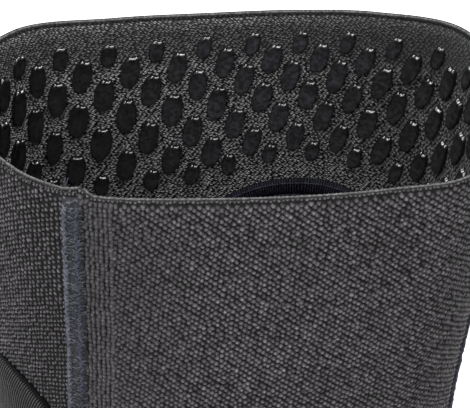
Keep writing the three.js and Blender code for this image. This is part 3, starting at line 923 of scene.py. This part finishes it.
def seam(name, seam_at, side):
    """The whole seam at one join, in one piece of four finishes."""
    levels = np.arange(SEAM_TOP, SEAM_BOTTOM, STRIP_STEP)
    aside, below = np.meshgrid(np.linspace(*STRIP_SIDES, STRIP_POINTS), levels)
    face = seam_places(seam_at, side, aside, below, strip_rise(aside, below))[0]
    under = seam_places(seam_at, side, aside, below, -STRIP_ROOT)[0]
    ring = np.concatenate([face, under[:, ::-1]], 1)
    rows, around = ring.shape[:2]
    faces = band_faces(rows, around).tolist()
    faces.append(list(range(around)))
    faces.append(list(range(rows * around - 1, (rows - 1) * around - 1, -1)))
    if side < 0:
        faces = [f[::-1] for f in faces]
    points = [ring.reshape(-1, 3)]
    kinds = [0] * len(faces)
    dice = np.random.default_rng(5)

    def lay(aside, below, lift, radius, sides, kind):
        nonlocal faces, kinds
        path, out = seam_places(seam_at, side, aside, below, strip_rise(aside, below) + lift)
        made, more = tubes(path, out, radius, sides)
        start = sum(len(p) for p in points)
        points.append(made)
        faces += [[start + v for v in f] for f in more]
        kinds += [kind] * len(more)

    t = np.linspace(0, 1, len(THREAD_TAPER))
    draw = dice.uniform(0, 1, (3, CROSS_COUNT, 1))
    bend = dice.normal(0, 1, (2, CROSS_COUNT, 1))
    length = (CROSS_LENGTH[0] + CROSS_LENGTH[1] * draw[0]) * MM
    middle = STRIP_SIDES[0] + CROSS_EDGE + draw[1] * (STRIP_SIDES[1] - STRIP_SIDES[0] - CROSS_EDGE)
    aside = middle + length * (t - 0.5)
    below = SEAM_TOP + CROSS_ENDS[0] + draw[2] * (SEAM_BOTTOM - SEAM_TOP - CROSS_ENDS[1])
    below = below + CROSS_LEAN * bend[0] * length * (t - 0.5) + CROSS_BOW * bend[1] * np.sin(np.pi * t)
    lay(aside, below, CROSS_LIFT, CROSS_RADIUS * THREAD_TAPER, CROSS_SIDES, 1)
    for middle, half, size, step, lift, kind in CHAINS:
        pitch = CHAIN_PITCH * step
        levels = np.arange(SEAM_TOP + CHAIN_START, SEAM_BOTTOM - CHAIN_END, pitch)
        for lean in (-1, 1):
            wobble = dice.normal(0, 1, (4, len(levels), 1))
            crossing = lean * half * (1 - 2 * t) * CHAIN_CROSSING
            aside = (middle + crossing + CHAIN_SPREAD[0] * wobble[0]) * MM
            below = levels[:, None] + (0.5 * (lean > 0) + CHAIN_REACH * t) * pitch
            below = below + CHAIN_SPREAD[1] * wobble[1]
            rise = (lift + CHAIN_SPREAD[3] * wobble[3] + CHAIN_ARCH * np.sin(np.pi * t)) * MM
            radius = size * CHAIN_RADIUS * THREAD_TAPER * (1 + CHAIN_SPREAD[2] * wobble[2])
            lay(aside, below, rise, radius, CORD_SIDES, kind)
    finishes = [seam_base, seam_thread, chain_thread, blue_thread]
    return piece(name, np.concatenate(points), faces, finishes, kinds)


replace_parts(seam("left_flat_seam", LEFT_SEAM_AT, 1), "left_seam")
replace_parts(seam("right_flat_seam", RIGHT_SEAM_AT, -1), "right_seam")

# Thread end
# A short end of the seam's pale thread stands up behind the rim at the left seam, where the
# sewing was cut off.
TAIL_LEANS = (-0.5, 0.1)
TAIL_ASIDE = -2.6
TAIL_STEPS = 8
TAIL_RADIUS = 0.11 * MM
TAIL_OVER = np.array([[[0.4, -1, 0.2]]])
tail_paths = []
for lean in TAIL_LEANS:
    t = np.linspace(0, 1, TAIL_STEPS)
    at = LEFT_SEAM_AT + (TAIL_ASIDE + lean * t) * MM / RIM_TURN
    tail_paths.append(wall(at, (1.2 - 2.2 * t) * MM, (1.6 + 1.2 * t * t) * MM))
points, faces = tubes(np.array(tail_paths), TAIL_OVER, TAIL_RADIUS, CROSS_SIDES)
tail_thread = dyed("tail_thread", tint_of(26, 27, 32), tint_of(42, 44, 52))
piece("thread_end", points, faces, [tail_thread])

# Grip print
# Seven staggered rows of silicone ovals are printed on the inside of the top band. Each is a
# flat-topped drop with a rounded edge, a little uneven, leaning with its column.
DOT_BELOW = MM * np.array([6.4, 10.0, 14.2, 18.9, 24.0, 29.0, 32.7])
DOT_LENGTH = MM * np.array([4.6, 6.4, 6.8, 6.8, 6.8, 6.4, 4.6])
DOT_WIDTH = MM * np.array([3.0, 3.7, 3.8, 3.8, 3.8, 3.7, 3.0])
DOTS_PER_ROW = 29
FIRST_DOT_AT = 0.199
DOT_SLANT = 0.16
DOT_LEAN = math.radians(10)
ROW_DIP = 0.2
DIPS_PER_TURN = 3
# Where the stretched knit pulls the lower rows upright, and where it draws them down:
# the place, its reach and the amount at full depth
UPRIGHT_PULL = (0.296, 0.058, 0.109)
DOWN_PULL = (0.262, 0.058, 0.087)
FULL_PULL_BELOW = 33 * MM
DOT_SIDES = 36
DOT_TOP_SIDES = 15
DOT_TOP_REACH = math.radians(32)
DOT_WIDE = (0.98, 0.1)
DOT_LONG = (1.13, 0.1)
DOT_FLATNESS = 2.2
DOT_LIP = 0.5
DOT_ROUNDING = 0.7
DOT_EDGE = 4.3 * MM
# The cup in each oval's upper edge: its level, depth and half width, as shares of the oval's half size
DOT_CUP = (0.9, 0.055, 0.31)
# How uneven the cups are in place, depth and tilt, and the range of their depth
CUP_SPREAD = (0.04, 0.25, 0.05)
CUP_RANGE = (0.3, 1.6)
DOT_RAGGED = 0.03
DOT_SWELL = 0.012
DOT_ROOT = 0.2 * MM
# How much the ovals differ in size and in lean
DOT_SPREAD = 0.03
LEAN_SPREAD = 0.04
# Painted sheen makes the print lighter in the middle of the back wall, most of all in the upper rows
SHEEN_AT = 0.225
SHEEN_REACH = 0.09
TONE_AND_SHEEN_RANGE = (0.62, 1.1)
SHEEN_TINT_RANGE = (0.8, 1.4)
SHEEN_FADE = 0.4
TOP_ROW_PALER = 0.12
TOP_ROW_THICKNESS = 0.6
# It is worn dull in the top row and from the middle of the back wall to the right
SHINY_FROM = 0.3
DULL_FROM = 0.21
TOP_ROW_DULL = 0.8
DULL_ROUGHNESS = 0.07
# Each ring is a share of the oval's size and a height over the knit
DOT_RINGS = np.array([
    (1.0, -0.2), (1.0, 0.2), (0.99, 0.35), (0.975, 0.485),
    (0.96, 0.62), (0.92, 0.71), (0.84, 0.72), (0.3, 0.675),
])
DOT_TOP = 0.67
EDGE_RINGS_OVER = 0.8
# How lit each ring is painted: 0 paints shade on the edge rings, 1 is the lit top
DOT_RING_LIGHT = np.array([0, 0, 0, 0, 0.1, 0.3, 0.8, 1])

silicone, paint = finish("silicone", {"Specular IOR Level": 0.7})
# Painted sheen lightens and tints the print's colour by the number kept on its points; noise mottles it
pale = paint.attribute("pale")
tone_mix = (0.55 + 0.9 * paint.noise(1100).ramp(0.35, 0.65)) * (0.4 + 1.2 * paint.noise(260)) * pale
face = pale.ramp(*SHEEN_TINT_RANGE).tint(tint_of(29, 28, 29), tint_of(30, 29, 32))
# The edge rings are painted near black, as painted shade, and the tops in the print's colour
paint.feed("Base Color", tone_mix.shade(paint.attribute("height").tint(tint_of(10, 10, 10), face)))
dull = paint.attribute("dull")
paint.feed("Roughness", 0.12 + 0.12 * paint.noise(700) + DULL_ROUGHNESS * dull)
paint.relief(paint.noise(1300), 0.15 * MM, 0.2)


def pull_at(pull, at, below):
    """How far one of the print's two pulls acts at a place, growing with the depth."""
    middle, reach, amount = pull
    away = (at - math.floor(at) - middle) / reach
    return amount * math.exp(-away ** 2) * (below / FULL_PULL_BELOW) ** 2


def dot_places(from_at, to_at):
    """The ovals whose neighbours all lie between two seams: place, depth, dip and row."""
    edge = turn_share(SEAM_HALF, from_at, DOT_BELOW[0])
    found = []
    for row, depth in enumerate(DOT_BELOW):
        for column in range(-2 * DOTS_PER_ROW, 2 * DOTS_PER_ROW):
            if (column + row) % 2:
                continue
            ends = []
            for near in (column - 1, column, column + 1):
                straight = FIRST_DOT_AT + near / (2 * DOTS_PER_ROW)
                leaned = (DOT_SLANT - pull_at(UPRIGHT_PULL, straight, depth)) * depth
                ends.append(straight + turn_share(leaned, straight, depth))
            if ends[0] < from_at + edge or ends[2] > to_at - edge:
                continue
            dip = 1 + ROW_DIP * math.sin(DIPS_PER_TURN * math.pi * (ends[1] - FIRST_DOT_AT)) ** 2
            dip += pull_at(DOWN_PULL, FIRST_DOT_AT + column / (2 * DOTS_PER_ROW), depth)
            found.append((ends[1], depth * dip, dip, row))
    return np.array(found)


def grip_print(name, from_at, to_at, seed):
    """All the ovals of one panel, in one piece."""
    found = dot_places(from_at, to_at)
    dice = np.random.default_rng(seed)
    row = found[:, 3].astype(int)
    size = 1 + DOT_SPREAD * dice.normal(0, 1, (len(found), 2))
    drawn = (found[:, 2] - 1) / ROW_DIP
    half_wide = (DOT_WIDE[0] + DOT_WIDE[1] * drawn) * DOT_WIDTH[row] / 2 * size[:, 0]
    half_long = (DOT_LONG[0] + DOT_LONG[1] * drawn) * DOT_LENGTH[row] / 2 * size[:, 1]
    lean = DOT_LEAN + LEAN_SPREAD * dice.normal(0, 1, len(found))
    waves = dice.normal(0, 1, (len(found), 6))
    upper_angles = np.linspace(-DOT_TOP_REACH, DOT_TOP_REACH, DOT_TOP_SIDES) - np.pi / 2
    lower_sides = DOT_SIDES - DOT_TOP_SIDES + 2
    lower_angles = np.linspace(DOT_TOP_REACH, 2 * np.pi - DOT_TOP_REACH, lower_sides) - np.pi / 2
    angle = np.concatenate([upper_angles, lower_angles[1:-1]])
    side = squared(np.cos(angle), DOT_FLATNESS)
    end = squared(np.sin(angle), DOT_FLATNESS)
    upper = np.clip(-end, 0, 1) ** 2
    swell = waves[:, :1] * np.cos(2 * angle) + waves[:, 1:2] * np.sin(3 * angle)
    swell = swell + waves[:, 2:3] * np.cos(5 * angle)
    uneven = 1 + DOT_SWELL * swell
    uneven = uneven + DOT_RAGGED * (1 - upper) * dice.normal(0, 1, (len(found), DOT_SIDES))
    cup_level, cup_depth, cup_half = DOT_CUP
    across_cup = (side - CUP_SPREAD[0] * waves[:, 3:4]) / cup_half
    cup_depth = cup_depth * np.clip(1 + CUP_SPREAD[1] * waves[:, 4:5], *CUP_RANGE)
    cup = cup_level + cup_depth * across_cup ** 2
    end = np.maximum(end, CUP_SPREAD[2] * waves[:, 5:6] * side - cup)
    edge = (1 + DOT_ROUNDING * upper) * (DOT_EDGE / half_long)[:, None, None]
    share = 1 - (1 - DOT_RINGS[:, :1]) * np.where(DOT_RINGS[:, :1] > EDGE_RINGS_OVER, edge, 1)
    x = (side * uneven)[:, None] * half_wide[:, None, None] * share
    y = (end * uneven)[:, None] * half_long[:, None, None] * share
    lip = 1 + DOT_LIP * upper * DOT_RINGS[:, :1] ** 4
    over = x * np.cos(lean)[:, None, None] + y * np.sin(lean)[:, None, None]
    under = y * np.cos(lean)[:, None, None] - x * np.sin(lean)[:, None, None]
    at = found[:, 0, None, None] + over * turn_share(1.0, found[:, 0], found[:, 1])[:, None, None]
    below = found[:, 1, None, None] + under
    thick = np.where(row == 0, TOP_ROW_THICKNESS, 1) * MM
    inset = WALL + DOT_RINGS[:, 1:] * lip * thick[:, None, None]
    rings = wall(at, below, np.broadcast_to(inset, at.shape))
    dots, turns, sides = rings.shape[:3]
    tops = wall(found[:, 0], found[:, 1], WALL + DOT_TOP * thick)
    backs = wall(found[:, 0], found[:, 1], WALL - DOT_ROOT)
    points = np.concatenate([rings.reshape(dots, -1, 3), tops[:, None], backs[:, None]], 1)
    faces = band_faces(turns, sides)[:, TURNED_OVER].tolist()
    top, back = turns * sides, turns * sides + 1
    for k in range(sides):
        after = (k + 1) % sides
        faces.append(((turns - 1) * sides + k, (turns - 1) * sides + after, top))
        faces.append((after, k, back))
    each = points.shape[1]
    every = [[v + d * each for v in f] for d in range(dots) for f in faces]
    height = np.tile(np.append(np.repeat(DOT_RING_LIGHT, sides), [1, 0]), dots)
    # Where the painted sheen lies: the middle of the back wall, fading down the rows
    middle = np.exp(-((found[:, 0] - SHEEN_AT) / SHEEN_REACH) ** 2) * (1 - SHEEN_FADE * row / len(DOT_BELOW))
    pale = np.repeat(TONE_AND_SHEEN_RANGE[0] + TONE_AND_SHEEN_RANGE[1] * middle + TOP_ROW_PALER * (row == 0), each)
    worn_right = np.clip((SHINY_FROM - found[:, 0]) / (SHINY_FROM - DULL_FROM), 0, 1)
    dull = np.repeat(np.maximum(worn_right, TOP_ROW_DULL * (row == 0)), each)
    numbers = {"height": height, "pale": pale, "dull": dull}
    return piece(name, points, every, [silicone], numbers=numbers)


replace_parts(grip_print("front_grip_ovals", LEFT_SEAM_AT, RIGHT_SEAM_AT, 3), "grip_dots_front")
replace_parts(grip_print("back_grip_ovals", RIGHT_SEAM_AT - 1, LEFT_SEAM_AT, 4), "grip_dots_back")

# Elbow pad
# An oval foam pad in navy-black jersey, laid on the inside of the back wall. Its edge is
# pressed flat and overlocked all round, between two fine lines of stitching.
PAD_AT = 0.189
PAD_BELOW = 83.0 * MM
PAD_HALF_WIDTH = 30 * MM
PAD_HALF_HEIGHT = 43 * MM
PAD_SQUARENESS = 2.2
PAD_BACK = 2.1 * MM
PAD_SHARES = np.array([0.1, 0.25, 0.4, 0.55, 0.68, 0.78, 0.84, 0.88, 0.91, 0.94, 0.97, 0.99, 1.0])
PAD_THICK = MM * np.array([3.2, 3.2, 3.15, 3.1, 2.95, 2.65, 2.2, 1.55, 1.2, 1.15, 1.1, 0.95, 0.6])
PAD_SPOKES = 120
PAD_WEAVE = 1900.0
OVERLOCK_COUNT = 400
OVERLOCK_SLANT = 0.004
OVERLOCK_SHARES = (0.925, 0.08)
OVERLOCK_HEIGHTS = MM * np.array([1.22, 1.3, 1.25, 1.1, 0.4])
OVERLOCK_RADII = 0.15 * MM * np.array([0.5, 1, 1, 1, 0.5])
# The two lines of stitching: their share of the pad's size, and their height
PAD_LINES = ((0.918, 1.32 * MM), (0.985, 1.1 * MM))
PAD_LINE_RADIUS = 0.2 * MM
PAD_LINE_STEPS = 361
PAD_LINE_WAVE = 0.002
PAD_LINE_WAVES = 150
pad_jersey, paint = finish("pad_jersey", {"Roughness": 0.85, "Specular IOR Level": 0.06})
inputs = {"Vector": paint.place(), "Scale": PAD_WEAVE}
weave = 1 - paint.node("ShaderNodeTexVoronoi", {"feature": "F1"}, inputs, "Distance").ramp(0.1, 0.7)
tone_mix = weave * (0.6 + 0.8 * paint.noise(300))
paint.feed("Base Color", tone_mix.tint(tint_of(3, 3, 5), tint_of(13, 12, 17)))
paint.relief(weave, 0.2 * MM)
pad_thread, paint = finish("pad_thread", {"Roughness": 0.8, "Specular IOR Level": 0.08})
paint.feed("Base Color", paint.noise(1500).ramp(0.3, 0.7).tint(tint_of(10, 10, 15), tint_of(30, 30, 40)))
angle = np.linspace(0, 2 * np.pi, PAD_SPOKES, endpoint=False)


def pad_place(angle, share, depth):
    """Places on the pad, by angle, share of its size, and depth from the wall."""
    half_sizes = (PAD_HALF_WIDTH * share, PAD_HALF_HEIGHT * share)
    at, below = oval_place(PAD_AT, PAD_BELOW, angle, *half_sizes, PAD_SQUARENESS)
    return wall(at, below, PAD_BACK + depth)


front = np.stack([pad_place(angle, s, d) for s, d in zip(PAD_SHARES, PAD_THICK)])
back = np.stack([pad_place(angle, s, 0.0) for s in PAD_SHARES[::-3]])
rings = np.concatenate([front, back])
ends = wall(np.full(2, PAD_AT), np.full(2, PAD_BELOW), PAD_BACK + np.array([PAD_THICK[0], 0]))
n = PAD_SPOKES
faces = band_faces(len(rings), n).tolist()
tip = len(rings) * n
for k in range(n):
    after = (k + 1) % n
    faces.append((tip, k, after))
    faces.append((tip + 1, tip - n + after, tip - n + k))
points = np.concatenate([rings.reshape(-1, 3), ends])
elbow_pad = piece("elbow_pad_cushion", points, faces, [pad_jersey])
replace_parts(elbow_pad, "elbow_pad")

spoke = np.linspace(0, 2 * np.pi, OVERLOCK_COUNT, endpoint=False)[:, None]
t = np.linspace(0, 1, len(OVERLOCK_HEIGHTS))
share = OVERLOCK_SHARES[0] + OVERLOCK_SHARES[1] * t
threads = pad_place(spoke + OVERLOCK_SLANT * (t - 0.5), share, OVERLOCK_HEIGHTS)
inward = -wall_directions(PAD_AT, PAD_BELOW)[2]
points, faces = tubes(threads, inward, OVERLOCK_RADII, CROSS_SIDES)
loops = np.linspace(0, 2 * np.pi, PAD_LINE_STEPS)[None]
for share, depth in PAD_LINES:
    wave = 1 + PAD_LINE_WAVE * np.sin(loops * PAD_LINE_WAVES)
    more, sides = tubes(pad_place(loops, share * wave, depth), inward, PAD_LINE_RADIUS, CORD_SIDES)
    faces += [[len(points) + v for v in f] for f in sides]
    points = np.concatenate([points, more])
piece("pad_overlock", points, faces, [pad_thread])

# Side insert
# A dark, finely ribbed knit insert fills the window at the left. It lies a little below the
# panel's face, behind a dark sewn-in edge, and its own edge is caught inside the panel's wall.
INSERT_RECESS = 0.4 * MM
INSERT_THICKNESS = 1.2 * MM
RIB_PITCH = 0.6 * MM
RIB_RISE = 0.34 * MM
RIB_SAMPLES = 4
RIB_STEPS = 33
RIB_SEARCH = 600
RIB_SEARCH_REACH = 1.3
RIB_LEAN = math.radians(-85)
RIB_BEND = 3.4 * MM
RIB_BEND_REACH = 28 * MM
INSERT_LAP = 0.7 * MM
INSERT_EDGE = 0.925
INSERT_SINK = 0.9 * MM
INSERT_BACK_TONE = 0.4
CREST_FADE = 4
ribbed_knit, paint = finish("ribbed_knit", {"Roughness": 0.8, "Specular IOR Level": 0.1})
crest = paint.attribute("height")
# Painted shade: the ribs are near black in their valleys and light on their crests, and go near black
# where the edge sinks, as a painted shadow in the gap round the insert
paint.feed("Base Color", (crest ** 3.5 * (0.4 + 1.2 * paint.noise(900))).tint(grey(2), grey(82)))
paint.relief(paint.noise(3800), 0.1 * MM, 0.6)


def rib_line(offset, along):
    """Places on the ribs, across the insert and down it: nearly upright, bending at their ends."""
    offset = offset + RIB_BEND * (along / RIB_BEND_REACH) ** 4
    across = along * math.cos(RIB_LEAN) - offset * math.sin(RIB_LEAN)
    return across, along * math.sin(RIB_LEAN) + offset * math.cos(RIB_LEAN)


def insert_share(across, down):
    """0 in the middle of the insert's squared oval and 1 on its outline."""
    wide = np.abs(across / (INSERT_HALF_WIDTH + INSERT_LAP)) ** INSERT_SQUARENESS
    high = np.abs(down / (INSERT_HALF_HEIGHT + INSERT_LAP)) ** INSERT_SQUARENESS
    return (wide + high) ** (1 / INSERT_SQUARENESS)


search = np.linspace(-RIB_SEARCH_REACH, RIB_SEARCH_REACH, RIB_SEARCH) * INSERT_HALF_HEIGHT
offset = np.arange(-INSERT_HALF_HEIGHT, INSERT_HALF_HEIGHT, RIB_PITCH / RIB_SAMPLES)
phase = 2 * np.pi * np.arange(len(offset)) / RIB_SAMPLES
inside = insert_share(*rib_line(offset[:, None], search)) < 1
kept = inside.sum(1) > 2
first = search[inside.argmax(1)][kept, None]
last = search[RIB_SEARCH - 1 - inside[:, ::-1].argmax(1)][kept, None]
along = first + (last - first) * (0.5 - 0.5 * np.cos(np.linspace(0, np.pi, RIB_STEPS)))
x, y = rib_line(offset[kept, None], along)
insert_at = INSERT_AT + x * insert_turn
insert_below = INSERT_BELOW + y
sunk = np.clip((insert_share(x, y) - INSERT_EDGE) / (1 - INSERT_EDGE), 0, 1)
# The crest number shapes the ribs and also sets their painted shade and the painted shadow at the sunk
# edge
crest = (0.5 - 0.5 * np.cos(phase[kept, None])) * np.clip(1 - CREST_FADE * sunk, 0, 1)
face = wall(insert_at, insert_below, INSERT_RECESS - RIB_RISE * (crest - 0.5) + INSERT_SINK * sunk)
under = wall(insert_at, insert_below, INSERT_RECESS + INSERT_THICKNESS)
rows, columns = x.shape
quad = band_faces(rows, columns).reshape(rows - 1, columns, 4)[:, :-1].reshape(-1, 4)
size = rows * columns
border = np.concatenate([
    np.arange(columns - 1), np.arange(rows - 1) * columns + columns - 1,
    (rows - 1) * columns + np.arange(columns - 1, 0, -1), np.arange(rows - 1, 0, -1) * columns,
])
after = np.roll(border, -1)
rim_faces = np.stack([border, after, after + size, border + size], -1)
faces = np.concatenate([quad, quad[:, ::-1] + size, rim_faces]).tolist()
points = np.concatenate([face.reshape(-1, 3), under.reshape(-1, 3)])
numbers = {"height": np.append(crest.ravel(), np.full(size, INSERT_BACK_TONE))}
side_insert = piece("ribbed_insert", points, faces, [ribbed_knit], numbers=numbers)
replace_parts(side_insert, "side_insert")

# Window edge
# The panel's cut edge round the insert is turned in and bound with a thin black cord, which
# covers the join on the outside.
BINDING_OFFSET = 0.6 * MM
BINDING_INSET = 0.2 * MM
BINDING_RADIUS = 0.36 * MM
BINDING_STEPS = 481
angle = np.linspace(0, 2 * np.pi, BINDING_STEPS)[None]
edge_at, edge_below = insert_outline(angle, BINDING_OFFSET)
path = wall(edge_at, edge_below, BINDING_INSET)
points, faces = tubes(path, wall_directions(edge_at, edge_below)[2], BINDING_RADIUS, CORD_SIDES)
binding, paint = finish("binding", {"Roughness": 0.9, "Specular IOR Level": 0.04})
# Near-black cord: its blackness and width also stand in for the shadow in the gap round the insert, as
# painted shade
paint.feed("Base Color", (0.5 + paint.noise(1300)).shade(tint_of(5, 5, 7)))
piece("window_binding", points, faces, [binding])
